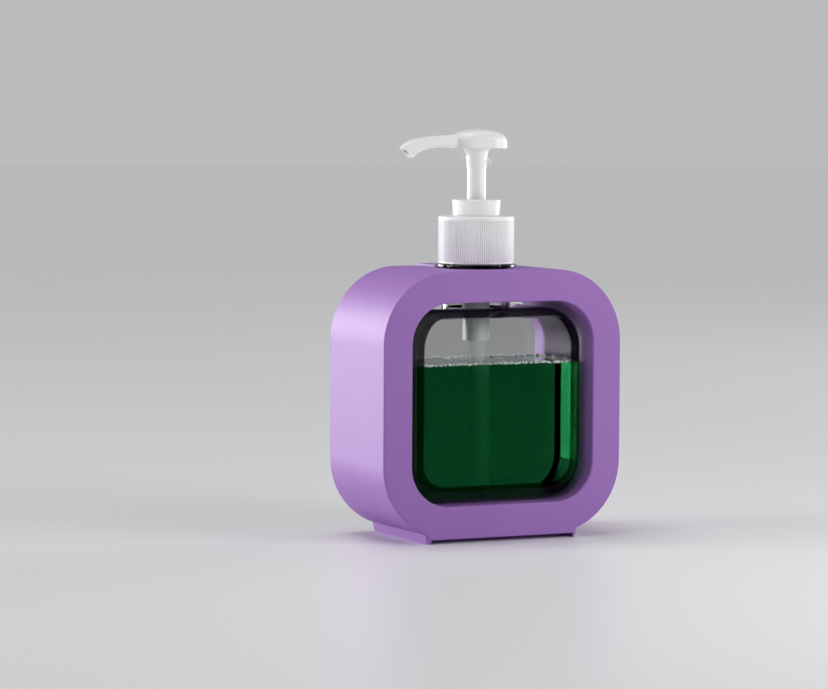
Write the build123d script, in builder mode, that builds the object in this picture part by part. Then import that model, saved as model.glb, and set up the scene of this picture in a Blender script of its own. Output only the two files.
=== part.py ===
from build123d import *
import math
import os

# Countertop soap dispenser: a clear bottle with a lotion pump, held in a square moulded frame.
# Millimetres. X runs along the front, +Y is the back, +Z is up.
# The origin is on the counter, under the middle of the frame and on the axis of the pump.

os.makedirs("parts", exist_ok=True)

# Frame shell: a rounded square ring that stands on a low foot
holder_width = 115.0
holder_height = 115.0
holder_depth = 55.0
holder_corner_radius = 31.5
rim_width = 13.7
holder_edge_radius = 0.7
shell_wall = 2.4
foot_height = 2.2
foot_width = 72.4
foot_flare = 1.1
foot_corner_radius = 2.0
foot_arch_depth = 7.0
foot_arch_height = 1.9
foot_rail_width = 1.6
foot_overlap = 0.4

# Back cover of the frame, with the tongue that closes the neck slot
cover_thickness = 2.4
cover_fit = 0.15
tongue_reach = 19.0
tongue_rise = 1.0
boss_radius = 3.2
boss_gap = 0.2
peg_radius = 1.6
peg_length = 8.0
peg_fit = 0.05
peg_tip_gap = 1.0

# Bottle: a rounded box whose neck hangs by its bead on the top of the frame
bottle_side_gap = 0.5
bottle_base_gap = 0.3
bottle_shoulder_gap = 3.3
bottle_recess = 5.5
bottle_edge_radius = 6.5
bottle_wall = 1.4
neck_radius = 15.2
neck_fit = 0.3
neck_wall = 1.8
bead_radius = 17.7
bead_height = 1.8
bead_edge = 0.5
finish_radius = 12.5

# Soap in the bottle
soap_depth = 58.7
soap_tube_gap = 0.3

# Screw cap
cap_radius = 16.6
cap_height = 20.6
cap_gap = 0.4
cap_wall = 2.6
cap_top = 2.4
cap_top_edge = 0.9
cap_hem = 0.8
cap_hem_step = 0.15
rib_size = 0.5
rib_count = 110

# Pump cylinder, which hangs on the neck by its flange
flange_thickness = 1.4
flange_gap = 0.1
gasket_thickness = 0.8
gasket_inset = 0.1
cylinder_bore = 4.95
cylinder_wall = 1.0
cup_bore = 7.75
cup_wall = 0.45
cup_hole_gap = 0.3
cup_rim_gap = 0.3
cage_radius = 3.4
cage_height = 4.0
cage_lip = 0.4
ledge_thickness = 1.2
inlet_radius = 1.5
socket_depth = 5.5

# Valve ball
ball_radius = 2.4
ball_gap = 0.05
ball_side_gap = 0.2
ball_lip_overlap = 0.2

# Lock collar
collar_gap = 0.15
collar_height = 7.0
collar_radius = 10.7
collar_draft = 0.5
collar_wall = 1.2
collar_top = 1.3
collar_edge = 0.35
bowl_bore = 6.9
bowl_wall = 0.75
bowl_depth = 7.0
bowl_floor = 1.0
bowl_seat_gap = 0.1
guide_fit = 0.05
guide_length = 9.5

# Piston, its rod and the spring
stroke = 20.0
piston_gap = 0.3
piston_length = 8.0
piston_waist = 0.45
piston_lip = 1.4
piston_fit = 0.05
piston_cup_depth = 5.0
piston_cup_fit = 0.1
piston_bore = 3.0
rod_head_gap = 0.1
rod_head_radius = 4.3
rod_head_thickness = 1.5
rod_pin_length = 2.0
rod_pin_fit = 0.3
rod_shank_radius = 2.6
rod_web = 1.6
rod_float = 1.2
rod_plug_length = 8.5
rod_plug_fit = 0.02
spring_wire = 0.9
spring_radius = 4.2
spring_turns = 7
spring_solid_length = 7.5

# Stem and dip tube
stem_radius = 4.15
stem_bore = 2.8
tube_radius = 4.0
tube_wall = 1.0
tube_end_gap = 3.5
tube_bevel = 3.0

# Pump head
head_gap = 2.2
head_height = 8.4
head_tail_radius = 9.0
head_tail_offset = 4.9
head_front_radius = 8.0
head_front_offset = 4.0
head_dome_radius = 27.0
head_dome_offset = 0.5
head_crown_radius = 4.2
head_under_radius = 0.5
spout_root_rise = 7.6
spout_nose_reach = 12.7
spout_nose_rise = 6.1
spout_back_reach = 22.8
spout_back_rise = 5.25
spout_bow_reach = 31.9
spout_bow_rise = 3.6
spout_reach = 37.0
spout_tip_rise = 0.9
spout_lip_reach = 31.8
spout_lip_drop = 4.1
spout_curl_reach = 28.6
spout_curl_drop = 1.6
spout_bend_reach = 25.6
spout_bend_drop = 0.5
spout_under_reach = 20.0
spout_under_rise = 0.25
spout_root_width = 8.8
spout_tip_width = 5.4
spout_top_radius = 2.2
spout_under_radius = 1.6
spout_blend_radius = 2.0
channel_radius = 1.6
channel_rise = 2.5
channel_bend_reach = 23.0
mouth_radius = 2.0
mouth_depth = 2.5
stem_socket_rise = 0.6
stem_fit = 0.02
skirt_clearance = 0.6
skirt_radius = 4.6
skirt_draft = 0.25
skirt_top_radius = 6.1
skirt_flare_height = 4.4
lug_reach = 2.0
lug_height = 3.0
lug_crest = 1.0
lug_pitch = 6.4
lug_turns = 0.56
lug_start_rise = 1.5
lug_start_angle = -36

# How far a cutter runs past the face that it cuts
overrun = 1.0

# Levels and widths that follow from the sizes above
holder_bottom = foot_height
holder_top = holder_bottom + holder_height
holder_middle = (holder_bottom + holder_top) / 2
window_width = holder_width - 2 * rim_width
window_height = holder_height - 2 * rim_width
window_bottom = holder_bottom + rim_width
window_top = holder_top - rim_width
window_corner_radius = holder_corner_radius - rim_width
half_depth = holder_depth / 2
cover_plane = half_depth - cover_thickness
seat_radius = neck_radius + neck_fit

bottle_width = window_width - 2 * bottle_side_gap
bottle_height = window_height - bottle_base_gap - bottle_shoulder_gap
bottle_depth = holder_depth - 2 * bottle_recess
bottle_corner_radius = window_corner_radius - bottle_side_gap
bottle_bottom = window_bottom + bottle_base_gap
bottle_shoulder = bottle_bottom + bottle_height
bottle_middle = (bottle_bottom + bottle_shoulder) / 2
bottle_floor = bottle_bottom + bottle_wall
bead_bottom = holder_top
bead_top = bead_bottom + bead_height

cap_bottom = bead_top + cap_gap
cap_crown = cap_bottom + cap_height
flange_top = cap_crown - cap_top - flange_gap
flange_bottom = flange_top - flange_thickness
neck_top = flange_bottom - gasket_thickness
finish_bore = finish_radius - neck_wall
cup_radius = cup_bore + cup_wall

collar_bottom = cap_crown + collar_gap
collar_crown = collar_bottom + collar_height
bowl_floor_top = collar_crown - bowl_depth
bowl_floor_bottom = bowl_floor_top - bowl_floor
guide_bottom = bowl_floor_bottom - guide_length

cylinder_radius = cylinder_bore + cylinder_wall
piston_top = guide_bottom - piston_gap
piston_bottom = piston_top - piston_length
rod_head_top = piston_bottom - rod_head_gap
rod_head_bottom = rod_head_top - rod_head_thickness
spring_bottom = rod_head_bottom - stroke - spring_solid_length
stem_bottom = piston_top - piston_cup_depth + rod_float
inlet_top = spring_bottom - ledge_thickness
cylinder_bottom = inlet_top - socket_depth

head_bottom = collar_crown + stroke + head_gap
head_crown = head_bottom + head_height
skirt_bottom = head_bottom - (head_gap + bowl_depth - skirt_clearance)
stem_top = head_bottom + stem_socket_rise


def rounded_ring_face(height, corner_radius, width, mode=Mode.ADD):
    """Rounded rectangle in the upright plane of the frame, centred on the frame's middle."""
    with Locations((0, holder_middle)):
        RectangleRounded(width, height, corner_radius, mode=mode)


def bottle_block(shrink):
    """The bottle's rounded box, smaller all round by one wall thickness where shrink is that wall."""
    width = bottle_width - 2 * shrink
    height = bottle_height - 2 * shrink
    half = bottle_depth / 2 - shrink
    with BuildSketch(Plane.XZ) as outline:
        with Locations((0, bottle_middle)):
            RectangleRounded(width, height, bottle_corner_radius - shrink)
    extrude(outline.sketch, amount=half, both=True)
    rims = faces().group_by(Axis.Y)
    fillet(rims[0].edges() + rims[-1].edges(), bottle_edge_radius - shrink)


def turned(points):
    """A round piece turned about the upright axis from a profile of (radius, height) points."""
    with BuildSketch(Plane.XZ) as profile:
        with BuildLine():
            Polyline(*points, close=True)
        make_face()
    revolve(profile.sketch, axis=Axis.Z)


def disc(radius, bottom, top, mode=Mode.ADD):
    """A round disc or bore about the upright axis, between two levels."""
    with BuildSketch(Plane.XY.offset(bottom)) as section:
        Circle(radius)
    extrude(section.sketch, amount=top - bottom, mode=mode)


# Places of the six pegs: two at mid height, two at the foot and two at the head of the ring
peg_top_x = seat_radius + shell_wall + 2 * boss_radius
rim_centre_x = (holder_width - rim_width) / 2
peg_places = []
for side in (-1, 1):
    peg_places.append((side * rim_centre_x, holder_middle))
    peg_places.append((side * peg_top_x, holder_bottom + rim_width / 2))
    peg_places.append((side * peg_top_x, holder_top - rim_width / 2))


# Foot of the frame: flush with its front and back, and arched underneath at both
with BuildPart() as holder_foot:
    foot_top_half = foot_width / 2 + foot_flare
    foot_run = foot_top_half - (holder_width / 2 - holder_corner_radius)
    foot_rise = holder_corner_radius - math.sqrt(holder_corner_radius**2 - foot_run**2)
    foot_top = holder_bottom + foot_rise + foot_overlap
    with BuildSketch(Plane.XZ):
        with BuildLine():
            Polyline(
                (-foot_width / 2, 0),
                (foot_width / 2, 0),
                (foot_top_half, foot_top),
                (-foot_top_half, foot_top),
                close=True,
            )
        make_face()
    extrude(amount=half_depth, both=True)
    slanted = edges().filter_by(Axis.X, reverse=True).filter_by(Axis.Y, reverse=True)
    fillet(slanted, foot_corner_radius)
    arch_width = foot_width - 2 * foot_rail_width
    with BuildSketch(Plane.XY.offset(-overrun)):
        with Locations((0, -half_depth), (0, half_depth)):
            Rectangle(arch_width, 2 * foot_arch_depth)
    extrude(amount=foot_arch_height + overrun, mode=Mode.SUBTRACT)


# Frame shell: one moulding, hollow between its outer and inner skins, open at the back
with BuildPart() as holder_shell:
    with BuildSketch(Plane.XZ):
        rounded_ring_face(holder_height, holder_corner_radius, holder_width)
    extrude(amount=half_depth, both=True)
    with BuildSketch(Plane.XZ):
        rounded_ring_face(window_height, window_corner_radius, window_width)
    extrude(amount=half_depth + overrun, both=True, mode=Mode.SUBTRACT)
    rims = faces().group_by(Axis.Y)
    fillet(rims[0].edges() + rims[-1].edges(), holder_edge_radius)
    add(holder_foot.part)

    with BuildSketch(Plane.XZ.offset(half_depth - shell_wall)):
        outer_skin = holder_width - 2 * shell_wall
        rounded_ring_face(
            holder_height - 2 * shell_wall, holder_corner_radius - shell_wall, outer_skin
        )
        inner_skin = window_width + 2 * shell_wall
        rounded_ring_face(
            window_height + 2 * shell_wall,
            window_corner_radius + shell_wall,
            inner_skin,
            mode=Mode.SUBTRACT,
        )
    extrude(amount=-(holder_depth + overrun), mode=Mode.SUBTRACT)

    slot_wall_radius = seat_radius + shell_wall
    with BuildSketch(Plane.XY.offset(window_top)):
        Circle(slot_wall_radius)
        with Locations((0, cover_plane / 2)):
            Rectangle(2 * slot_wall_radius, cover_plane)
    extrude(amount=rim_width)
    with BuildSketch(Plane.XY.offset(window_top - overrun)):
        Circle(seat_radius)
        with Locations((0, half_depth)):
            Rectangle(2 * seat_radius, holder_depth)
    extrude(amount=rim_width + 2 * overrun, mode=Mode.SUBTRACT)

    boss_length = holder_depth - shell_wall - cover_thickness - boss_gap
    with BuildSketch(Plane.XZ.offset(half_depth - shell_wall)):
        with Locations(*peg_places):
            Circle(boss_radius)
    extrude(amount=-boss_length)
    with BuildSketch(Plane.XZ.offset(-(cover_plane + overrun))):
        with Locations(*peg_places):
            Circle(peg_radius + peg_fit)
    extrude(amount=peg_length + peg_tip_gap + overrun, mode=Mode.SUBTRACT)

holder_shell.part.label = "holder_shell"
export_step(holder_shell.part, "parts/holder_shell.step")


# Back cover: a flat ring set between the two skins, with pegs and the tongue of the neck slot
with BuildPart() as holder_back:
    cover_inset = shell_wall + cover_fit
    with BuildSketch(Plane.XZ.offset(-cover_plane)):
        rounded_ring_face(
            holder_height - 2 * cover_inset,
            holder_corner_radius - cover_inset,
            holder_width - 2 * cover_inset,
        )
        rounded_ring_face(
            window_height + 2 * cover_inset,
            window_corner_radius + cover_inset,
            window_width + 2 * cover_inset,
            mode=Mode.SUBTRACT,
        )
    extrude(amount=-cover_thickness)
    with BuildSketch(Plane.XZ.offset(-cover_plane)):
        with Locations(*peg_places):
            Circle(peg_radius)
    extrude(amount=peg_length)

    tongue_half = seat_radius - cover_fit
    with BuildSketch(Plane.XY.offset(window_top)):
        with Locations((0, half_depth - tongue_reach / 2)):
            Rectangle(2 * tongue_half, tongue_reach)
        Circle(seat_radius, mode=Mode.SUBTRACT)
    extrude(amount=rim_width)
    with BuildSketch(Plane.XY.offset(holder_top)):
        with Locations((0, half_depth - tongue_reach / 2)):
            Rectangle(2 * tongue_half, tongue_reach)
        Circle(bead_radius + neck_fit + cover_fit, mode=Mode.SUBTRACT)
    extrude(amount=tongue_rise)
    with BuildSketch(Plane.XY.offset(window_top)):
        with Locations((0, half_depth - tongue_reach / 2)):
            Rectangle(2 * (tongue_half - shell_wall), tongue_reach - 2 * shell_wall)
        Circle(seat_radius + shell_wall, mode=Mode.SUBTRACT)
    extrude(amount=rim_width - shell_wall, mode=Mode.SUBTRACT)

holder_back.part.label = "holder_back"
export_step(holder_back.part, "parts/holder_back.step")


# Inside of the bottle's box, which shapes both the bottle and the soap
with BuildPart() as bottle_hollow:
    bottle_block(bottle_wall)


# Bottle: rounded box, plain neck in the slot, bead on the frame, then the finish for the cap
with BuildPart() as bottle:
    bottle_block(0)
    turned(
        [
            (0, bottle_middle),
            (neck_radius, bottle_middle),
            (neck_radius, bead_bottom),
            (bead_radius - bead_edge, bead_bottom),
            (bead_radius, bead_bottom + bead_edge),
            (bead_radius, bead_top - bead_edge),
            (bead_radius - bead_edge, bead_top),
            (finish_radius, bead_top),
            (finish_radius, neck_top),
            (0, neck_top),
        ]
    )
    add(bottle_hollow.part, mode=Mode.SUBTRACT)
    disc(neck_radius - neck_wall, bottle_middle, bead_bottom, mode=Mode.SUBTRACT)
    disc(finish_bore, bottle_middle, neck_top, mode=Mode.SUBTRACT)

bottle.part.label = "bottle"
export_step(bottle.part, "parts/bottle.step")


# Dip tube: pushed into the foot of the cylinder, cut slanting at its lower end
tube_top = inlet_top
tube_bottom = bottle_floor + tube_end_gap
with BuildPart() as dip_tube:
    with BuildSketch(Plane.XY.offset(tube_bottom)):
        Circle(tube_radius)
        Circle(tube_radius - tube_wall, mode=Mode.SUBTRACT)
    extrude(amount=tube_top - tube_bottom)
    with BuildSketch(Plane.XZ):
        with BuildLine():
            Polyline(
                (-tube_radius - overrun, tube_bottom),
                (tube_radius, tube_bottom),
                (-tube_radius - overrun, tube_bottom + tube_bevel),
                close=True,
            )
        make_face()
    extrude(amount=tube_radius + overrun, both=True, mode=Mode.SUBTRACT)

dip_tube.part.label = "dip_tube"
export_step(dip_tube.part, "parts/dip_tube.step")


# Soap: fills the hollow up to its level, round the tube and inside it, and clear of the cylinder
soap_level = bottle_floor + soap_depth
with BuildPart() as liquid_soap:
    add(bottle_hollow.part)
    split(bisect_by=Plane.XY.offset(soap_level), keep=Keep.BOTTOM)
    with BuildSketch(Plane.XY.offset(tube_bottom - soap_tube_gap)):
        Circle(tube_radius + soap_tube_gap)
        Circle(tube_radius - tube_wall - soap_tube_gap, mode=Mode.SUBTRACT)
    extrude(amount=soap_depth, mode=Mode.SUBTRACT)
    disc(
        cylinder_radius + soap_tube_gap,
        cylinder_bottom - soap_tube_gap,
        flange_bottom,
        mode=Mode.SUBTRACT,
    )

liquid_soap.part.label = "liquid_soap"
export_step(liquid_soap.part, "parts/liquid_soap.step")


# Screw cap: a ribbed skirt under a smooth shoulder, with the hole for the cylinder's cup
with BuildPart() as screw_cap:
    disc(cap_radius - cap_hem_step, cap_bottom, cap_bottom + cap_hem)
    with BuildSketch(Plane.XY.offset(cap_bottom + cap_hem)):
        Circle(cap_radius)
        with PolarLocations(cap_radius, rib_count):
            Rectangle(rib_size, rib_size, rotation=45, mode=Mode.SUBTRACT)
    extrude(amount=cap_height - cap_hem - 2 * cap_top_edge)
    disc(cap_radius, cap_crown - 2 * cap_top_edge, cap_crown)
    fillet(faces().sort_by(Axis.Z)[-1].edges(), cap_top_edge)
    disc(cap_radius - cap_wall, cap_bottom, cap_crown - cap_top, mode=Mode.SUBTRACT)
    disc(cup_radius + cup_hole_gap, cap_bottom, cap_crown, mode=Mode.SUBTRACT)

screw_cap.part.label = "screw_cap"
export_step(screw_cap.part, "parts/screw_cap.step")


# Gasket between the rim of the neck and the flange of the cylinder
with BuildPart() as neck_gasket:
    with BuildSketch(Plane.XY.offset(neck_top)):
        Circle(finish_radius - gasket_inset)
        Circle(finish_bore, mode=Mode.SUBTRACT)
    extrude(amount=gasket_thickness)

neck_gasket.part.label = "neck_gasket"
export_step(neck_gasket.part, "parts/neck_gasket.step")


# Pump cylinder: cup, flange, bore, ledge for the spring, ball cage and socket of the dip tube
cup_top = collar_crown - collar_top - cup_rim_gap
cup_floor = bowl_floor_bottom - bowl_seat_gap
seat_slope_top = ball_radius + ball_side_gap
cage_top = spring_bottom + cage_height
with BuildPart() as pump_cylinder:
    turned(
        [
            (inlet_radius, inlet_top),
            (tube_radius, inlet_top),
            (tube_radius, cylinder_bottom),
            (cylinder_radius, cylinder_bottom),
            (cylinder_radius, flange_bottom),
            (finish_radius, flange_bottom),
            (finish_radius, flange_top),
            (cup_radius, flange_top),
            (cup_radius, cup_top),
            (cup_bore, cup_top),
            (cup_bore, cup_floor),
            (cylinder_bore, cup_floor),
            (cylinder_bore, spring_bottom),
            (cage_radius, spring_bottom),
            (cage_radius, cage_top),
            (ball_radius - ball_lip_overlap, cage_top),
            (ball_radius - ball_lip_overlap, cage_top - cage_lip),
            (seat_slope_top, cage_top - cage_lip),
            (seat_slope_top, inlet_top + (seat_slope_top - inlet_radius)),
        ]
    )

pump_cylinder.part.label = "pump_cylinder"
export_step(pump_cylinder.part, "parts/pump_cylinder.step")


# Valve ball: rests on the slope of the inlet, under the lip of the cage
ball_centre = inlet_top - inlet_radius + (ball_radius + ball_gap) * math.sqrt(2)
with BuildPart() as inlet_ball:
    with Locations((0, 0, ball_centre)):
        Sphere(ball_radius)

inlet_ball.part.label = "inlet_ball"
export_step(inlet_ball.part, "parts/inlet_ball.step")


# Lock collar: outer skirt on the cap, bowl that takes the lock thread, guide tube of the stem
stem_hole = stem_radius + guide_fit
with BuildPart() as lock_collar:
    turned(
        [
            (collar_radius - collar_draft, collar_bottom),
            (collar_radius, collar_crown - collar_edge),
            (collar_radius - collar_edge, collar_crown),
            (bowl_bore, collar_crown),
            (bowl_bore, bowl_floor_top),
            (stem_hole, bowl_floor_top),
            (stem_hole, guide_bottom),
            (cylinder_bore - guide_fit, guide_bottom),
            (cylinder_bore - guide_fit, bowl_floor_bottom),
            (bowl_bore + bowl_wall, bowl_floor_bottom),
            (bowl_bore + bowl_wall, collar_crown - collar_top),
            (collar_radius - collar_wall, collar_crown - collar_top),
            (collar_radius - collar_wall - collar_draft, collar_bottom),
        ]
    )

lock_collar.part.label = "lock_collar"
export_step(lock_collar.part, "parts/lock_collar.step")


# Piston: two sealing lips, and a cup on top that the end of the stem slides in
piston_radius = cylinder_bore - piston_fit
piston_waist_radius = piston_radius - piston_waist
with BuildPart() as piston:
    turned(
        [
            (piston_bore, piston_bottom),
            (piston_radius, piston_bottom),
            (piston_radius, piston_bottom + piston_lip),
            (piston_waist_radius, piston_bottom + piston_lip + piston_waist),
            (piston_waist_radius, piston_top - piston_lip - piston_waist),
            (piston_radius, piston_top - piston_lip),
            (piston_radius, piston_top),
            (stem_radius + piston_cup_fit, piston_top),
            (stem_radius + piston_cup_fit, piston_top - piston_cup_depth),
            (piston_bore, piston_top - piston_cup_depth),
        ]
    )

piston.part.label = "piston"
export_step(piston.part, "parts/piston.step")


# Piston rod: disc on the spring, crossed shank through the piston, plug in the end of the stem
with BuildPart() as piston_rod:
    disc(rod_head_radius, rod_head_bottom, rod_head_top)
    pin_radius = spring_radius - spring_wire / 2 - rod_pin_fit
    disc(pin_radius, rod_head_bottom - rod_pin_length, rod_head_bottom)
    with BuildSketch(Plane.XY.offset(rod_head_top)):
        Rectangle(2 * rod_shank_radius, rod_web)
        Rectangle(rod_web, 2 * rod_shank_radius)
    extrude(amount=stem_bottom - rod_head_top)
    with BuildSketch(Plane.XY.offset(stem_bottom)):
        Rectangle(2 * stem_bore, rod_web)
        Rectangle(rod_web, 2 * stem_bore)
        Circle(stem_bore - rod_plug_fit, mode=Mode.INTERSECT)
    extrude(amount=rod_plug_length)

piston_rod.part.label = "piston_rod"
export_step(piston_rod.part, "parts/piston_rod.step")


# Spring: wire coil between the ledge and the disc of the rod
with BuildPart() as pump_spring:
    coil_height = rod_head_bottom - spring_bottom - spring_wire
    with BuildLine():
        coil = Helix(
            pitch=coil_height / spring_turns,
            height=coil_height,
            radius=spring_radius,
            center=(0, 0, spring_bottom + spring_wire / 2),
        )
    with BuildSketch(Plane(origin=coil @ 0, z_dir=coil % 0)):
        Circle(spring_wire / 2)
    sweep(path=coil, is_frenet=True)

pump_spring.part.label = "pump_spring"
export_step(pump_spring.part, "parts/pump_spring.step")


# Stem: hollow tube from the piston's cup up into the head
with BuildPart() as stem:
    with BuildSketch(Plane.XY.offset(stem_bottom)):
        Circle(stem_radius)
        Circle(stem_bore, mode=Mode.SUBTRACT)
    extrude(amount=stem_top - stem_bottom)

stem.part.label = "stem"
export_step(stem.part, "parts/stem.step")


# Crown of the pump head: a domed block, rounded at its rim
with BuildPart() as head_crown_block:
    with BuildSketch(Plane.XY.offset(head_bottom)):
        with Locations((head_tail_offset, 0)):
            Circle(head_tail_radius)
        with Locations((-head_front_offset, 0)):
            Circle(head_front_radius)
        make_hull()
    extrude(amount=head_height + overrun)
    with Locations((head_dome_offset, 0, head_crown - head_dome_radius)):
        Sphere(head_dome_radius, mode=Mode.INTERSECT)
    side_middle = head_bottom + head_height / 2
    rim = edges().filter_by(lambda e: min(v.Z for v in e.vertices()) > side_middle)
    fillet(rim, head_crown_radius)
    fillet(edges().group_by(Axis.Z)[0], head_under_radius)


# Spout of the pump head: a bowed bar that narrows to a slanting tip
with BuildPart() as head_spout_block:
    tip_top = (-spout_reach, head_bottom + spout_tip_rise)
    tip_lip = (-spout_lip_reach, head_bottom - spout_lip_drop)
    root_top = (0, head_bottom + spout_root_rise)
    root_under = (0, head_bottom + spout_under_rise)
    with BuildSketch(Plane.XZ):
        with BuildLine():
            Spline(
                root_top,
                (-spout_nose_reach, head_bottom + spout_nose_rise),
                (-spout_back_reach, head_bottom + spout_back_rise),
                (-spout_bow_reach, head_bottom + spout_bow_rise),
                tip_top,
            )
            Line(tip_top, tip_lip)
            underside = Spline(
                tip_lip,
                (-spout_curl_reach, head_bottom - spout_curl_drop),
                (-spout_bend_reach, head_bottom - spout_bend_drop),
                (-spout_under_reach, head_bottom + spout_under_rise),
                tangents=((1, 1), (1, 0)),
            )
            Polyline(underside @ 1, root_under, root_top)
        make_face()
    extrude(amount=head_tail_radius, both=True)
    with BuildSketch(Plane.XY.offset(head_bottom - spout_lip_drop - overrun)):
        with BuildLine():
            Polyline(
                (0, -spout_root_width / 2),
                (0, spout_root_width / 2),
                (-spout_reach, spout_tip_width / 2),
                (-spout_reach, -spout_tip_width / 2),
                close=True,
            )
        make_face()
    extrude(amount=head_height + spout_lip_drop + 2 * overrun, mode=Mode.INTERSECT)
    runners = edges().filter_by(lambda e: e.length > spout_root_width and abs(e.center().Y) > 0)
    fillet(runners.filter_by(lambda e: e.center().Z > head_bottom + spout_tip_rise), spout_top_radius)
    under_edges = edges().filter_by(
        lambda e: e.length > spout_root_width
        and abs(e.center().Y) > spout_tip_width / 4
        and e.center().Z < head_bottom + spout_tip_rise
    )
    fillet(under_edges, spout_under_radius)


# Lug of the lock thread: climbs round the skirt, flat underneath and sloping above
with BuildPart() as lock_lug:
    with BuildLine():
        lug_path = Helix(
            pitch=lug_pitch,
            height=lug_pitch * lug_turns,
            radius=stem_radius,
            center=(0, 0, skirt_bottom + lug_start_rise),
        )
    with BuildSketch(Plane(origin=lug_path @ 0, x_dir=(1, 0, 0), z_dir=-(lug_path % 0))):
        with BuildLine():
            lug_root = skirt_radius - stem_radius
            Polyline(
                (0, 0),
                (lug_root + lug_reach, 0),
                (lug_root + lug_reach, lug_crest),
                (lug_root, lug_height),
                (0, lug_height),
                close=True,
            )
        make_face()
    sweep(path=lug_path, is_frenet=True)


# Pump head: crown, spout, skirt and lock thread in one, with its socket and liquid channel
with BuildPart() as pump_head:
    add(head_crown_block.part)
    add(head_spout_block.part)
    front_reach = head_front_offset + head_front_radius
    meeting = edges().filter_by(
        lambda e: front_reach - spout_blend_radius < -e.center().X < front_reach
        and abs(e.center().Y) < spout_root_width / 2
        and e.center().Z > head_bottom + head_under_radius
    )
    fillet(meeting, spout_blend_radius)
    channel_level = head_bottom + channel_rise
    with BuildSketch(Plane.XZ):
        with BuildLine():
            flare = Spline(
                (skirt_top_radius, head_bottom),
                (skirt_radius, head_bottom - skirt_flare_height),
                tangents=((-1, -1), (0, -1)),
            )
            Polyline(
                flare @ 1,
                (skirt_radius - skirt_draft, skirt_bottom),
                (0, skirt_bottom),
                (0, channel_level),
                (skirt_top_radius, channel_level),
                flare @ 0,
            )
        make_face()
    revolve(axis=Axis.Z)
    add(lock_lug.part, rotation=(0, 0, lug_start_angle))
    disc(stem_radius + stem_fit, skirt_bottom, stem_top, mode=Mode.SUBTRACT)
    disc(stem_bore, stem_top, channel_level + channel_radius, mode=Mode.SUBTRACT)
    tip_x = -(spout_reach + spout_lip_reach) / 2
    tip_z = head_bottom + (spout_tip_rise - spout_lip_drop) / 2
    tip_plane = Plane(
        origin=(tip_x, 0, tip_z),
        z_dir=(-(spout_tip_rise + spout_lip_drop), 0, spout_lip_reach - spout_reach),
    )
    with BuildSketch(tip_plane):
        Circle(mouth_radius)
    extrude(amount=-mouth_depth, mode=Mode.SUBTRACT)
    with BuildLine(Plane.XZ):
        straight = Line((0, channel_level), (-channel_bend_reach, channel_level))
        mouth_end = tip_plane.offset(-mouth_depth / 2).origin
        TangentArc(straight @ 1, mouth_end, tangent=straight % 1)
    with BuildSketch(Plane(origin=(0, 0, channel_level), z_dir=(-1, 0, 0))):
        Circle(channel_radius)
    sweep(mode=Mode.SUBTRACT)

pump_head.part.label = "pump_head"
export_step(pump_head.part, "parts/pump_head.step")
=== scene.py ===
# %% [markdown]
# This lesson dresses a counter soap dispenser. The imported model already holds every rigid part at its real
# place and size, so it is loaded first as a fixed frame. Everything made here is in metres, in the same
# frame: X along the front, Y towards the back, Z up. A short value for a millimetre keeps the sizes
# readable.

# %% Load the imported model
import bpy
import bmesh
import math
import random
from mathutils import Matrix, Vector


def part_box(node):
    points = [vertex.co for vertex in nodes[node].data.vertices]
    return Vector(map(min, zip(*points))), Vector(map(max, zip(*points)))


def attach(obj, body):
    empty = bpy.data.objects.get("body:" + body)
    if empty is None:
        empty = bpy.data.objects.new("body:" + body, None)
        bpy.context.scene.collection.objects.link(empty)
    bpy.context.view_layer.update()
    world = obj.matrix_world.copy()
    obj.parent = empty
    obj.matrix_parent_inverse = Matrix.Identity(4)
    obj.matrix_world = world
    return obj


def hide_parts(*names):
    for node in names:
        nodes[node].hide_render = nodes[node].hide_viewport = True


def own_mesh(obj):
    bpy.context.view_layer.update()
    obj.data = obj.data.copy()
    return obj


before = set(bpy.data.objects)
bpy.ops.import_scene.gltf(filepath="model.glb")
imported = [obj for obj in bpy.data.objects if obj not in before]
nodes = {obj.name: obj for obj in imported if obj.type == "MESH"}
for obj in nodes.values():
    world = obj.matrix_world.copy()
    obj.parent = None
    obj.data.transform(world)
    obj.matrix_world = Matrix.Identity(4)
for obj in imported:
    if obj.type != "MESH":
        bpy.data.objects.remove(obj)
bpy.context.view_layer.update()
scene = bpy.context.scene
mm = 0.001
print("nodes", sorted(nodes))


# %% [markdown]
# The camera comes early. The place and the lens were worked out from the corners of the object, so the render lines
# up with the photograph. The matrix holds the camera's right, up and back directions as its columns.

# %% Camera
camera_data = bpy.data.cameras.new("photo_camera")
camera = bpy.data.objects.new("photo_camera", camera_data)
scene.collection.objects.link(camera)
camera_data.lens = 156.29
camera_data.sensor_width = 36.0
camera_data.clip_start = 0.05
camera_data.clip_end = 50.0
camera_place = Vector((-0.714784, -1.400439, 0.193125))
right = Vector((0.898505, -0.438925, 0.005757))
up = Vector((0.025431, 0.065141, 0.997552))
back = Vector((-0.438226, -0.896159, 0.069692))
camera_turn = Matrix((right, up, back)).transposed().to_4x4()
camera.matrix_world = Matrix.Translation(camera_place) @ camera_turn
scene.camera = camera
print("camera stands", round(camera_place.length, 3), "m from the foot of the object")


# %% [markdown]
# Materials are small graphs of nodes. These helpers add one node with its values, a colour ramp from a list
# of stops, a noise that is fixed to the piece it lies on, and the choice between two shaders.

# %% Node helpers
def add_node(tree, kind, inputs=None, **settings):
    """Adds one shader node, with its settings and the values of its inputs."""
    node = tree.nodes.new("ShaderNode" + kind)
    for name, value in settings.items():
        setattr(node, name, value)
    for socket, value in (inputs or {}).items():
        node.inputs[socket].default_value = value
    return node


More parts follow.
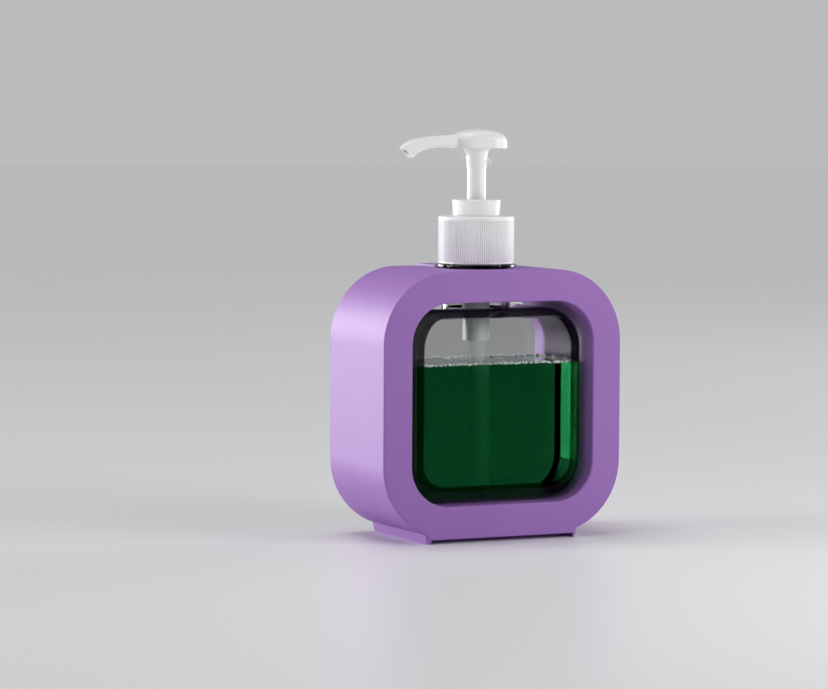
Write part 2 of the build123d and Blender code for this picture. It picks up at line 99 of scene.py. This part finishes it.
def colour_ramp(tree, *stops):
    """A colour ramp from (position, colour) stops, the lowest first."""
    ramp = add_node(tree, "ValToRGB")
    elements = ramp.color_ramp.elements
    elements[0].position = stops[0][0]
    elements[1].position = stops[-1][0]
    for position, _ in stops[1:-1]:
        elements.new(position)
    for element, (_, colour) in zip(elements, stops):
        element.color = (*colour, 1)
    return ramp


def noise(tree, scale, detail=2.0):
    """A noise on the coordinates of the piece itself."""
    place = add_node(tree, "TexCoord")
    texture = add_node(tree, "TexNoise", {"Scale": scale, "Detail": detail})
    tree.links.new(place.outputs["Object"], texture.inputs["Vector"])
    return texture


def choose_shader(tree, share, first, second, output="Material Output"):
    """Shows the first shader where the share is 0 and the second where it is 1."""
    choice = add_node(tree, "MixShader")
    tree.links.new(share, choice.inputs["Fac"])
    tree.links.new(first, choice.inputs[1])
    tree.links.new(second, choice.inputs[2])
    tree.links.new(choice.outputs["Shader"], tree.nodes[output].inputs["Surface"])


# %% [markdown]
# The sky gives an even, weak light. What the camera, a mirroring surface or a clear wall sees of it is set
# apart from that light, so the background stays pale while the object is lit gently. The seen sky is pale
# at the horizon and darker overhead, which keeps clear and glossy pieces from looking washed out. Through
# a clear wall it is weaker still, so the air space over the soap shows as a plain grey.

# %% Colour settings and sky
scene.view_settings.view_transform = "Standard"
sky_light_strength = 0.11
seen_through_strength = 0.62
world = bpy.data.worlds.new("studio_sky")
scene.world = world
world.use_nodes = True
sky = world.node_tree
sky.nodes.clear()
sky_out = add_node(sky, "OutputWorld")
sky_light = add_node(sky, "Background", {"Color": (0.86, 0.88, 0.92, 1), "Strength": sky_light_strength})
sky_seen = add_node(sky, "Background")
sky_place = add_node(sky, "TexCoord")
sky_height = add_node(sky, "SeparateXYZ")
sky_ramp = colour_ramp(sky, (0.22, (0.50, 0.50, 0.508)), (0.55, (0.06, 0.06, 0.065)))
sky_path = add_node(sky, "LightPath")
seen_or_mirrored = add_node(sky, "Math", operation="MAXIMUM")
seen_or_through = add_node(sky, "Math", operation="MAXIMUM")
through_share = add_node(sky, "Math", {1: seen_through_strength - 1.0, 2: 1.0}, operation="MULTIPLY_ADD")
sky.links.new(sky_path.outputs["Is Transmission Ray"], through_share.inputs[0])
sky.links.new(through_share.outputs[0], sky_seen.inputs["Strength"])
sky.links.new(sky_place.outputs["Generated"], sky_height.inputs[0])
sky.links.new(sky_height.outputs["Z"], sky_ramp.inputs["Fac"])
sky.links.new(sky_ramp.outputs["Color"], sky_seen.inputs["Color"])
sky.links.new(sky_path.outputs["Is Camera Ray"], seen_or_mirrored.inputs[0])
sky.links.new(sky_path.outputs["Is Glossy Ray"], seen_or_mirrored.inputs[1])
sky.links.new(seen_or_mirrored.outputs[0], seen_or_through.inputs[0])
sky.links.new(sky_path.outputs["Is Transmission Ray"], seen_or_through.inputs[1])
choose_shader(sky, seen_or_through.outputs[0], sky_light.outputs[0], sky_seen.outputs[0], sky_out.name)
print("sky nodes", len(sky.nodes))


# %% [markdown]
# Most materials here are moulded plastics. One helper makes them: a Principled shader whose colour wanders
# a little on a large noise, and whose surface carries a very fine grain as bump, as a spark-eroded mould
# leaves it. A clear or milky plastic also lets the lamps through to what is inside it, by a shadow that is
# only a tint.

# %% Moulded plastic
bump_strength = 0.35


def new_material(name):
    material = bpy.data.materials.new(name)
    material.use_nodes = True
    return material, material.node_tree, material.node_tree.nodes["Principled BSDF"]


def set_values(shader, **values):
    for socket, value in values.items():
        shader.inputs[socket.replace("_", " ")].default_value = value


def let_lamps_through(tree, shader, tint):
    """Makes a clear finish cast a tinted shadow. The tint is a colour or the output of a node."""
    path = add_node(tree, "LightPath")
    passing = add_node(tree, "BsdfTransparent")
    if isinstance(tint, tuple):
        passing.inputs["Color"].default_value = (*tint, 1)
    else:
        tree.links.new(tint, passing.inputs["Color"])
    choose_shader(tree, path.outputs["Is Shadow Ray"], shader.outputs["BSDF"], passing.outputs["BSDF"])


def moulded_plastic(name, dark, light, patch_scale, grain_scale, grain_height, lamp_tint=None, **values):
    """A plastic between two near colours. Its grain is grain_height metres deep."""
    material, tree, shader = new_material(name)
    patches = noise(tree, patch_scale, 3.0)
    ramp = colour_ramp(tree, (0.3, dark), (0.7, light))
    grain = noise(tree, grain_scale)
    bump = add_node(tree, "Bump", {"Strength": bump_strength, "Distance": grain_height})
    tree.links.new(patches.outputs["Fac"], ramp.inputs["Fac"])
    tree.links.new(ramp.outputs["Color"], shader.inputs["Base Color"])
    tree.links.new(grain.outputs["Fac"], bump.inputs["Height"])
    tree.links.new(bump.outputs["Normal"], shader.inputs["Normal"])
    set_values(shader, **values)
    if lamp_tint:
        let_lamps_through(tree, shader, lamp_tint)
    return material


# %% [markdown]
# The frame is a satin purple and the pump a smoother white. The pump's cylinder is milky and the dip tube
# nearly clear, which makes both stand out only softly through the bottle and the soap. The seal is a pale
# foam.

# %% Plastics of this object
purple_plastic = moulded_plastic(
    "purple_frame_plastic", (0.325, 0.147, 0.488), (0.345, 0.162, 0.508),
    patch_scale=18, grain_scale=2200, grain_height=0.00004,
    Roughness=0.58, Specular_IOR_Level=0.42,
)
white_plastic = moulded_plastic(
    "white_pump_plastic", (0.87, 0.87, 0.87), (0.91, 0.91, 0.91),
    patch_scale=40, grain_scale=3000, grain_height=0.00002,
    Roughness=0.34, Specular_IOR_Level=0.5,
)
milky_plastic = moulded_plastic(
    "milky_pump_plastic", (0.78, 0.80, 0.80), (0.84, 0.86, 0.86),
    patch_scale=60, grain_scale=2500, grain_height=0.00001, lamp_tint=(0.60, 0.62, 0.62),
    Roughness=0.30, Transmission_Weight=0.30, IOR=1.40,
)
tube_plastic = moulded_plastic(
    "dip_tube_plastic", (0.88, 0.90, 0.89), (0.93, 0.95, 0.94),
    patch_scale=60, grain_scale=2500, grain_height=0.00001, lamp_tint=(0.85, 0.88, 0.86),
    Roughness=0.12, Transmission_Weight=0.85, IOR=1.06,
)
seal_rubber = moulded_plastic(
    "pale_seal_foam", (0.70, 0.70, 0.68), (0.80, 0.80, 0.78),
    patch_scale=900, grain_scale=4000, grain_height=0.00006,
    Roughness=0.8,
)


# %% [markdown]
# The spring is drawn steel wire: a metal whose roughness changes along fine streaks.

# %% Spring steel
def drawn_steel():
    material, tree, shader = new_material("drawn_spring_wire")
    streaks = noise(tree, 700)
    spread = add_node(tree, "MapRange", {"To Min": 0.18, "To Max": 0.34})
    tree.links.new(streaks.outputs["Fac"], spread.inputs["Value"])
    tree.links.new(spread.outputs["Result"], shader.inputs["Roughness"])
    set_values(shader, Base_Color=(0.62, 0.62, 0.63, 1), Metallic=1.0)
    return material


spring_steel = drawn_steel()


# %% [markdown]
# A clear moulding with thick rounded rims bends the light away there, so the rims look nearly black, while the flat
# panels stay clear. That darkness is painted here as a dark shade in the colour of the rims, and a milder painted
# shade darkens the sides. How far a face points along Y tells them apart: 0 on the sides, in between on the rims,
# and 1 on the front and back panels. The same measure gives the shadow its tint.

# %% Clear plastics and glass
side_stop, first_rim_stop, last_rim_stop, panel_stop = 0.05, 0.25, 0.996, 0.9998


def grey(level):
    return (level, level, level)


def by_facing(tree, facing, side, rim, panel):
    """A ramp over the facing measure, with one colour each for sides, rims and panels."""
    ramp = colour_ramp(
        tree, (side_stop, side), (first_rim_stop, rim), (last_rim_stop, rim), (panel_stop, panel)
    )
    tree.links.new(facing, ramp.inputs["Fac"])
    return ramp.outputs["Color"]


def clear_material(name, panel_tint, rim_painted_shade, side_painted_shade, ior):
    """A clear plastic or glass, with a tint for its panels and a painted shade for its rims and its sides."""
    material, tree, shader = new_material(name)
    haze = noise(tree, 25)
    spread = add_node(tree, "MapRange", {"To Min": 0.0, "To Max": 0.02})
    tree.links.new(haze.outputs["Fac"], spread.inputs["Value"])
    tree.links.new(spread.outputs["Result"], shader.inputs["Roughness"])
    place = add_node(tree, "TexCoord")
    split = add_node(tree, "SeparateXYZ")
    facing = add_node(tree, "Math", operation="ABSOLUTE")
    tree.links.new(place.outputs["Normal"], split.inputs[0])
    tree.links.new(split.outputs["Y"], facing.inputs[0])
    # Base colour: the panel tint, with painted shade on the rims and sides in place of the light they bend away.
    tint = by_facing(tree, facing.outputs[0], side_painted_shade, rim_painted_shade, panel_tint)
    tree.links.new(tint, shader.inputs["Base Color"])
    set_values(shader, Transmission_Weight=1.0, IOR=ior)
    shade = by_facing(tree, facing.outputs[0], grey(0.75), grey(0.30), grey(0.97))
    let_lamps_through(tree, shader, shade)
    return material


# %% [markdown]
# The bottle needs four such finishes. Its outside above the soap is clear, with a painted black shade on its rims;
# below the soap the rims carry a painted dark green shade, standing in for the soap seen through the rim. Both paint
# a darker shade on the sides. Its wetted inside bends no light, because soap and wall bend it nearly alike. The rear
# wall, the neck and the dry inside have no painted dark rims, since the front ones already show them, but they keep
# the painted darker sides.

# %% Finishes of the bottle and the valve ball
clear_bottle_plastic = clear_material(
    "clear_bottle_plastic", (0.90, 0.91, 0.91), (0.006, 0.006, 0.0064), (0.32, 0.33, 0.33), 1.30
)
filled_bottle_plastic = clear_material(
    "filled_bottle_plastic", (0.93, 0.96, 0.94), (0.002, 0.040, 0.008), (0.10, 0.15, 0.11), 1.30
)
wetted_tint = (0.97, 0.99, 0.98)
wetted_plastic = clear_material("wetted_bottle_plastic", wetted_tint, wetted_tint, wetted_tint, 1.0)
plain_plastic = clear_material(
    "plain_bottle_plastic", (0.92, 0.93, 0.93), (0.98, 0.98, 0.98), (0.32, 0.33, 0.33), 1.30
)
ball_glass = clear_material(
    "valve_ball_glass", (0.93, 0.96, 0.95), (0.80, 0.84, 0.83), (0.80, 0.84, 0.83), 1.52
)
print("finishes", sorted(material.name for material in bpy.data.materials))


# %% [markdown]
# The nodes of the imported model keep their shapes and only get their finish.

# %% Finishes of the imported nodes
finishes = {
    "holder_shell": purple_plastic,
    "holder_back": purple_plastic,
    "screw_cap": white_plastic,
    "lock_collar": white_plastic,
    "pump_head": white_plastic,
    "stem": white_plastic,
    "pump_cylinder": milky_plastic,
    "dip_tube": tube_plastic,
    "piston": milky_plastic,
    "piston_rod": white_plastic,
    "neck_gasket": seal_rubber,
    "pump_spring": spring_steel,
    "inlet_ball": ball_glass,
}
for node_name, finish in finishes.items():
    nodes[node_name].data.materials.clear()
    nodes[node_name].data.materials.append(finish)
print("finished nodes", len(finishes))


# %% [markdown]
# New pieces start as a bmesh. This helper turns a finished bmesh into an object at the origin, smooths it up to a
# chosen edge angle, gives it a material, and says which body it rides on.

# %% Piece helpers
default_crease = 40
merge_distance = 1e-7


def smooth(mesh, crease=default_crease):
    """Shades a mesh smooth, apart from edges sharper than the crease angle in degrees."""
    mesh.shade_smooth()
    mesh.set_sharp_from_angle(angle=math.radians(crease))


def make_piece(bm, name, body, material, crease=default_crease):
    bmesh.ops.recalc_face_normals(bm, faces=bm.faces)
    mesh = bpy.data.meshes.new(name)
    bm.to_mesh(mesh)
    bm.free()
    smooth(mesh, crease)
    mesh.materials.append(material)
    piece = bpy.data.objects.new(name, mesh)
    scene.collection.objects.link(piece)
    if body:
        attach(piece, body)
    print(name, len(mesh.polygons), "faces")
    return piece


def frozen(piece):
    """Replaces a piece's mesh by what its modifiers make of it."""
    graph = bpy.context.evaluated_depsgraph_get()
    mesh = bpy.data.meshes.new_from_object(piece.evaluated_get(graph))
    piece.modifiers.clear()
    piece.data = mesh


# %% [markdown]
# The bottle is a rounded box with a neck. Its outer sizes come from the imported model, and its radii were
# compared with the photograph. One helper, in the next cell, makes the outside, the inside, which is
# smaller by the wall, and the soap.

# %% Sizes of the bottle
bottle_low, bottle_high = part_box("bottle")
soap_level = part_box("liquid_soap")[1].z
bottle_width = bottle_high.x - bottle_low.x
bottle_depth = bottle_high.y - bottle_low.y
bottle_floor = bottle_low.z
bottle_shoulder = bottle_floor + 84.0 * mm
bottle_middle = Vector((0, 0, (bottle_floor + bottle_shoulder) / 2))
corner_radius = 17.3 * mm
rim_radius = 8.2 * mm
inner_rim = 6.9 * mm
wall = 1.4 * mm
head_share = 0.55
print("bottle", round(bottle_width / mm, 1), "x", round(bottle_depth / mm, 1), "mm, wall", round(wall / mm, 1), "mm")


# %% [markdown]
# A cube is beveled along its four long edges first, for the wide corners seen from the front, and then
# round both rims, for the softer turn into the front and back panels. The rims are lower at the head of the
# bottle, so the points there are moved up by a share of how far the rim has turned inwards.

# %% Rounded box
same_place = 1e-6


def bevel(bm, edges, radius, steps):
    bmesh.ops.bevel(
        bm, geom=edges, offset=radius, offset_type="OFFSET",
        affect="EDGES", segments=steps, profile=0.5, material=-1,
    )


def rounded_box(shrink, rim, corner_steps=20, rim_steps=10):
    """A box inside the bottle's outline by shrink, with its rims rounded to a radius of rim."""
    bm = bmesh.new()
    bmesh.ops.create_cube(bm, size=1.0)
    height = bottle_shoulder - bottle_floor
    size = Vector((bottle_width - 2 * shrink, bottle_depth - 2 * shrink, height - 2 * shrink))
    bmesh.ops.scale(bm, vec=size, verts=bm.verts)
    bmesh.ops.translate(bm, vec=bottle_middle, verts=bm.verts)
    corner = corner_radius - shrink
    long_edges = [e for e in bm.edges if abs((e.verts[0].co - e.verts[1].co).y) > size.y / 2]
    bevel(bm, long_edges, corner, corner_steps)
    rim_edges = [e for e in bm.edges if abs(e.verts[0].co.y - e.verts[1].co.y) < same_place]
    bevel(bm, rim_edges, rim, rim_steps)
    corner_height = bottle_shoulder - shrink - corner
    for vert in bm.verts:
        into_rim = max(0.0, abs(vert.co.y) - (size.y / 2 - rim))
        inset = rim - math.sqrt(max(0.0, rim**2 - into_rim**2))
        if vert.co.z > corner_height:
            vert.co.z += head_share * inset * (vert.co.z - corner_height) / (corner - inset)
    return bm


# %% [markdown]
# The neck is a turned shape: a profile of a few points is spun about the upright axis. The hanging bead and
# the finish for the cap belong to the same profile, and a second profile makes the bore that is cut away.
# Both are given in millimetres, as a radius and a height above the frame on which the bead lies.

# %% Turned shapes
def turned(points, steps=96):
    """Spins a closed profile of (radius, height) points, in metres, about the upright axis."""
    bm = bmesh.new()
    verts = [bm.verts.new((radius, 0, height)) for radius, height in points]
    for first, second in zip(verts, verts[1:]):
        bm.edges.new((first, second))
    bmesh.ops.spin(
        bm, geom=bm.verts[:] + bm.edges[:], cent=(0, 0, 0), axis=(0, 0, 1), dvec=(0, 0, 0),
        angle=math.tau, steps=steps, use_merge=True, use_duplicate=False,
    )
    bmesh.ops.remove_doubles(bm, verts=bm.verts, dist=merge_distance)
    bmesh.ops.recalc_face_normals(bm, faces=bm.faces)
    return bm


def section(base, *points):
    """Turns (radius, height) points in millimetres into points in metres, above a base height."""
    return [(radius * mm, base + height * mm) for radius, height in points]


neck_top = bottle_high.z
neck_root = bottle_shoulder - 12 * mm
bead_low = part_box("holder_shell")[1].z
bead = section(bead_low, (17.2, 0), (17.55, 0.15), (17.7, 0.5), (17.7, 1.3), (17.55, 1.65), (17.2, 1.8))
bead_top = bead[-1][1]
neck_radius, finish_radius = 15.2 * mm, 12.5 * mm
wide_bore, narrow_bore = 13.4 * mm, 10.7 * mm
bore_top = neck_top + 1 * mm
neck_outside = [
    (0, neck_root), (neck_radius, neck_root), (neck_radius, bead_low), *bead,
    (finish_radius, bead_top), (finish_radius, neck_top), (0, neck_top),
]
neck_bore = [
    (0, neck_root), (wide_bore, neck_root), *section(bead_low, (13.4, -1), (13.1, -0.3), (10.7, 1)),
    (narrow_bore, bore_top), (0, bore_top),
]
print("neck", round((neck_top - bead_top) / mm, 2), "mm above its bead")


# %% [markdown]
# The bottle is then put together with boolean modifiers, outside first: box and neck are joined, and the
# inner box and the bore are taken out. That leaves one closed wall of even thickness.

# %% Bottle
def boolean(target, bm, operation):
    cutter = make_piece(bm, "cutter", None, clear_bottle_plastic)
    change = target.modifiers.new("shape", "BOOLEAN")
    change.operation = operation
    change.solver = "EXACT"
    change.object = cutter
    frozen(target)
    bpy.data.objects.remove(cutter)


bottle_glass = make_piece(
    rounded_box(0, rim_radius), "clear_bottle", "holder", clear_bottle_plastic
)
boolean(bottle_glass, turned(neck_outside), "UNION")
boolean(bottle_glass, rounded_box(wall, inner_rim), "DIFFERENCE")
boolean(bottle_glass, turned(neck_bore), "DIFFERENCE")


# %% [markdown]
# The wall is cut at the soap's level, so that each of its faces takes the finish for its place. The front above the
# soap keeps the first finish. Weighted normals then keep the large panels flat, and with them the border of each
# painted dark rim crisp.

# %% Finishes by place on the bottle
for finish in (filled_bottle_plastic, wetted_plastic, plain_plastic):
    bottle_glass.data.materials.append(finish)
filled, wetted, plain = 1, 2, 3
bottle_bm = bmesh.new()
bottle_bm.from_mesh(bottle_glass.data)
bmesh.ops.bisect_plane(
    bottle_bm, geom=bottle_bm.verts[:] + bottle_bm.edges[:] + bottle_bm.faces[:],
    plane_co=(0, 0, soap_level), plane_no=(0, 0, 1),
)
for face in bottle_bm.faces:
    centre = face.calc_center_median()
    inside = face.normal.dot(centre - bottle_middle) < 0
    if inside and centre.z < soap_level:
        face.material_index = wetted
    elif inside or centre.y > bottle_depth / 4 or centre.z > bottle_shoulder:
        face.material_index = plain
    elif centre.z < soap_level:
        face.material_index = filled
bottle_bm.to_mesh(bottle_glass.data)
bottle_bm.free()
smooth(bottle_glass.data)
even = bottle_glass.modifiers.new("even_normals", "WEIGHTED_NORMAL")
even.keep_sharp = True
even.weight = 100
frozen(bottle_glass)
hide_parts("bottle")
print("bottle", len(bottle_glass.data.polygons), "faces")


# %% [markdown]
# The soap's green comes from absorption inside it, so thin places are bright and deep ones nearly black.
# Its sides touch the wall and bend no light. Only its upper skin does, and that is a thin piece of its own.

# %% Soap materials
def soap_material(name, ior):
    material, tree, shader = new_material(name)
    cloud = noise(tree, 30)
    tint = colour_ramp(tree, (0.0, (0.90, 0.98, 0.92)), (1.0, (0.94, 1.00, 0.96)))
    tree.links.new(cloud.outputs["Fac"], tint.inputs["Fac"])
    tree.links.new(tint.outputs["Color"], shader.inputs["Base Color"])
    set_values(shader, Transmission_Weight=1.0, IOR=ior, Roughness=0.0)
    let_lamps_through(tree, shader, (0.97, 1.0, 0.98))
    return material, tree


green_soap, soap_tree = soap_material("green_liquid_soap", 1.0)
skin_finish, _ = soap_material("soap_skin", 1.36)
absorb = add_node(soap_tree, "VolumeAbsorption", {"Color": (0.0, 0.59, 0.34, 1), "Density": 112.0})
soap_tree.links.new(absorb.outputs["Volume"], soap_tree.nodes["Material Output"].inputs["Volume"])


# %% [markdown]
# The soap fills the bottle's inside up to its level, with a very small overlap into the wall. The dip
# tube's whole core is taken out of it, so the soap is clear there and the tube shows as a brighter stripe.

# %% Green soap
overlap = 0.05 * mm


def soap_section(keep_below):
    """The bottle's inside, cut at the soap's level: the part below, or only the outline, filled."""
    bm = rounded_box(wall - overlap, inner_rim)
    bmesh.ops.bisect_plane(
        bm, geom=bm.verts[:] + bm.edges[:] + bm.faces[:], plane_co=(0, 0, soap_level), plane_no=(0, 0, 1),
        clear_outer=True, clear_inner=not keep_below,
    )
    bmesh.ops.holes_fill(bm, edges=[e for e in bm.edges if len(e.link_faces) < 2], sides=0)
    return bm


soap = make_piece(soap_section(True), "green_soap", "holder", green_soap)
tube_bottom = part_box("dip_tube")[0].z
core_radius = 4.0 * mm - overlap
core_low = tube_bottom + 1.5 * mm
core_high = soap_level + 1 * mm
tube_core = [(0, core_low), (core_radius, core_low), (core_radius, core_high), (0, core_high)]
boolean(soap, turned(tube_core, 48), "DIFFERENCE")
smooth(soap.data)
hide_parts("liquid_soap")


# %% [markdown]
# The skin is the outline at the soap's level, filled. It lies a hair above the soap, and its upper side
# bends and mirrors light as the surface of a liquid does. The outline is kept, because the bubbles lie
# along it.

# %% Skin of the soap
skin_lift = 0.01 * mm
skin_bm = soap_section(False)
outline = [(e.verts[0].co.copy(), e.verts[1].co.copy()) for e in skin_bm.edges if e.is_boundary]
bmesh.ops.translate(skin_bm, vec=(0, 0, skin_lift), verts=skin_bm.verts)
skin = make_piece(skin_bm, "soap_skin", "holder", skin_finish)
if skin.data.polygons[0].normal.z < 0:
    skin.data.flip_normals()
print("outline edges", len(outline))


# %% [markdown]
# Small bubbles gather where the soap meets the wall, as they do after a pump stroke. Their film looks
# nearly white, because each bubble mirrors the light from all round.

# %% Film of the bubbles
bubble_film, bubble_tree, bubble_shader = new_material("soap_bubble_film")
bubble_noise = noise(bubble_tree, 1500)
bubble_ramp = colour_ramp(bubble_tree, (0.35, (0.88, 0.90, 0.89)), (0.65, (0.98, 0.98, 0.98)))
bubble_tree.links.new(bubble_noise.outputs["Fac"], bubble_ramp.inputs["Fac"])
bubble_tree.links.new(bubble_ramp.outputs["Color"], bubble_shader.inputs["Base Color"])
set_values(bubble_shader, Roughness=0.15, Metallic=0.1)


# %% [markdown]
# The bubbles lie along the outline of the soap's skin, most of them close to the wall. Each is a small
# sphere of few faces, because there are hundreds. The random draws start from a fixed seed, so each run
# gives the same.

# %% Bubbles
random.seed(7)
bubble_count = 640
bubble_radii = (0.25, 0.32, 0.42, 0.60)
bubble_spread = 5
one_bubble = bmesh.new()
bmesh.ops.create_uvsphere(one_bubble, u_segments=7, v_segments=5, radius=1.0)
bubble_form = bpy.data.meshes.new("bubble_form")
one_bubble.to_mesh(bubble_form)
one_bubble.free()
bubble_bm = bmesh.new()
round_length = sum((b - a).length for a, b in outline)
for first, second in outline:
    for _ in range(max(1, round((second - first).length / round_length * bubble_count))):
        radius = random.choice(bubble_radii) * mm
        spot = first.lerp(second, random.random())
        inward = Vector((-spot.x, -spot.y, 0)).normalized()
        spot += inward * (radius + random.random() ** 3 * bubble_spread * mm)
        spot.z += random.uniform(-0.1, 0.9) * radius
        already = len(bubble_bm.verts)
        bubble_bm.from_mesh(bubble_form)
        bubble_bm.verts.ensure_lookup_table()
        fresh = bubble_bm.verts[already:]
        bmesh.ops.scale(bubble_bm, vec=(radius, radius, radius), verts=fresh)
        bmesh.ops.translate(bubble_bm, vec=spot, verts=fresh)
make_piece(bubble_bm, "soap_bubbles", "holder", bubble_film, 80)


# %% [markdown]
# Bottle and cap have a coarse screw thread, which shows when the cap is undone. A small profile is spun
# with a rise for each turn, which gives a helical ridge. The ridges keep the same pitch, so they turn past
# each other.

# %% Threads
thread_pitch = 4.233 * mm
thread_turns = 1.75
steps_a_turn = 72


def thread_ridge(profile, name, body, material):
    bm = bmesh.new()
    verts = [bm.verts.new((radius, 0, height)) for radius, height in profile]
    face = bm.faces.new(verts)
    bmesh.ops.spin(
        bm, geom=face.verts[:] + face.edges[:] + [face], cent=(0, 0, 0), axis=(0, 0, 1),
        dvec=(0, 0, thread_pitch / steps_a_turn), angle=thread_turns * math.tau,
        steps=round(thread_turns * steps_a_turn), use_duplicate=False,
    )
    make_piece(bm, name, body, material, 30)


cap_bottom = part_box("screw_cap")[0].z
neck_ridge = section(bead_low, (12.40, 4.6), (13.15, 5.0), (13.15, 5.6), (12.40, 6.0))
cap_ridge = section(cap_bottom, (14.10, 2.2), (13.40, 2.6), (13.40, 3.2), (14.10, 3.6))
thread_ridge(neck_ridge, "neck_thread", "holder", clear_bottle_plastic)
thread_ridge(cap_ridge, "cap_thread", "screw_cap", white_plastic)


# %% [markdown]
# The spring is the one part that changes its length. A copy of the imported spring is merged into one closed shape,
# which rides on the pump unit with a mesh of its own.

# %% Spring
spring_bm = bmesh.new()
spring_bm.from_mesh(nodes["pump_spring"].data)
spring_bm.transform(nodes["pump_spring"].matrix_world)
bmesh.ops.remove_doubles(spring_bm, verts=spring_bm.verts, dist=merge_distance)
spring = make_piece(spring_bm, "coil_spring", "pump_unit", spring_steel)
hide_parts("pump_spring")
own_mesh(spring)


# %% [markdown]
# The floor is one big plain disc. It is slightly glossy, so the frame's colour shows faintly below the foot. Seen
# through the bottle it is a darker, plain grey, because a bright floor would shine through the soap's side as a
# glaring strip.

# %% Floor
floor_radius = 8.0
darker_through_share = 0.80
floor_material, floor_tree, floor_shader = new_material("pale_floor")
floor_noise = noise(floor_tree, 3.0)
floor_ramp = colour_ramp(floor_tree, (0.0, (0.79, 0.79, 0.795)), (1.0, (0.82, 0.82, 0.825)))
floor_tree.links.new(floor_noise.outputs["Fac"], floor_ramp.inputs["Fac"])
floor_tree.links.new(floor_ramp.outputs["Color"], floor_shader.inputs["Base Color"])
set_values(floor_shader, Roughness=0.36, Specular_IOR_Level=0.35)
floor_path = add_node(floor_tree, "LightPath")
floor_share = add_node(floor_tree, "Math", {1: darker_through_share}, operation="MULTIPLY")
floor_through = add_node(floor_tree, "BsdfDiffuse", {"Color": (0.34, 0.34, 0.343, 1)})
floor_tree.links.new(floor_path.outputs["Is Transmission Ray"], floor_share.inputs[0])
choose_shader(
    floor_tree, floor_share.outputs[0], floor_shader.outputs["BSDF"], floor_through.outputs["BSDF"]
)
floor_bm = bmesh.new()
bmesh.ops.create_circle(floor_bm, cap_ends=True, segments=64, radius=floor_radius)
floor = make_piece(floor_bm, "floor", None, floor_material)


# %% [markdown]
# Two broad suns give the plain light: their light doesn't fall off, so the floor stays evenly pale into the
# distance. One comes from above, and a weaker one from the left, as from a window. Four soft boxes add what
# is close to the object: a little light from the left, a sheen along the left side of the frame, a light
# for the right of its front, and one for its right side. The box for the sheen stands behind, and only
# mirrored light sees it.

# %% Lamps
def aim(lamp, place, target):
    lamp.location = place
    lamp.rotation_euler = (Vector(target) - Vector(place)).to_track_quat("-Z", "Y").to_euler()
    lamp.visible_camera = False
    lamp.visible_transmission = False
    scene.collection.objects.link(lamp)


def broad_sun(name, direction, strength, spread):
    """A sun that shines from a direction. Its spread in degrees softens the shadows."""
    lamp_data = bpy.data.lights.new(name, "SUN")
    lamp_data.energy = strength
    lamp_data.angle = math.radians(spread)
    aim(bpy.data.objects.new(name, lamp_data), direction, (0, 0, 0))


def soft_box(name, place, target, width, height, power):
    """A rectangular lamp at a place, turned to a target. Its power is in watts."""
    lamp_data = bpy.data.lights.new(name, "AREA")
    lamp_data.shape = "RECTANGLE"
    lamp_data.size = width
    lamp_data.size_y = height
    lamp_data.energy = power
    aim(bpy.data.objects.new(name, lamp_data), place, target)


broad_sun("top_sun", (-0.15, 0.10, 1.0), strength=1.4, spread=40)
broad_sun("window_sun", (-0.85, 0.12, 0.40), strength=0.78, spread=40)
soft_box("left_box", (-1.20, 0.42, 0.10), (0, 0, 0.07), width=0.35, height=0.8, power=8)
soft_box("sheen_box", (-0.80, 1.40, 0.22), (0, 0, 0.08), width=0.8, height=0.8, power=40)
soft_box("room_box", (0.42, -0.55, 0.28), (0, 0, 0.07), width=0.35, height=0.30, power=2.6)
soft_box("right_box", (1.60, 0.30, 0.26), (0, 0, 0.10), width=0.5, height=0.4, power=8)
bpy.data.objects["sheen_box"].visible_diffuse = False
print("lamps", len(bpy.data.lights))


# %% [markdown]
# A clear front mirrors the pale floor before it as a veil over the soap. As in a studio, a black card takes
# that veil away. It stands in front of the bottle and has a lip that lies towards it. Only mirrored light
# sees the card, and only its side that faces the bottle is black, so it shows in no other view.

# %% Dark card
card_width, card_height, card_lip = 0.40, 0.16, 0.10
card_centre = Vector((0.10, -0.14, 0.081))
card_material, card_tree, card_shader = new_material("black_card")
card_noise = noise(card_tree, 5.0)
card_ramp = colour_ramp(card_tree, (0.0, grey(0.002)), (1.0, grey(0.006)))
card_tree.links.new(card_noise.outputs["Fac"], card_ramp.inputs["Fac"])
card_tree.links.new(card_ramp.outputs["Color"], card_shader.inputs["Base Color"])
set_values(card_shader, Roughness=1.0, Specular_IOR_Level=0.0)
card_side = add_node(card_tree, "NewGeometry")
card_open = add_node(card_tree, "BsdfTransparent")
choose_shader(
    card_tree, card_side.outputs["Backfacing"], card_shader.outputs["BSDF"], card_open.outputs["BSDF"]
)
card_bm = bmesh.new()
bmesh.ops.create_grid(card_bm, x_segments=1, y_segments=1, size=0.5)
bmesh.ops.scale(card_bm, vec=(card_width, card_height, 1), verts=card_bm.verts)
bmesh.ops.rotate(card_bm, matrix=Matrix.Rotation(math.radians(90), 3, "X"), verts=card_bm.verts)
bmesh.ops.translate(card_bm, vec=card_centre, verts=card_bm.verts)
foot_edge = [e for e in card_bm.edges if all(v.co.z < card_centre.z / 2 for v in e.verts)]
lip = bmesh.ops.extrude_edge_only(card_bm, edges=foot_edge)
lip_verts = [item for item in lip["geom"] if isinstance(item, bmesh.types.BMVert)]
bmesh.ops.translate(card_bm, vec=(0, card_lip, 0), verts=lip_verts)
card = make_piece(card_bm, "black_card", None, card_material)
if card.data.polygons[0].normal.y < 0:
    card.data.flip_normals()
card.visible_camera = card.visible_diffuse = card.visible_transmission = card.visible_shadow = False
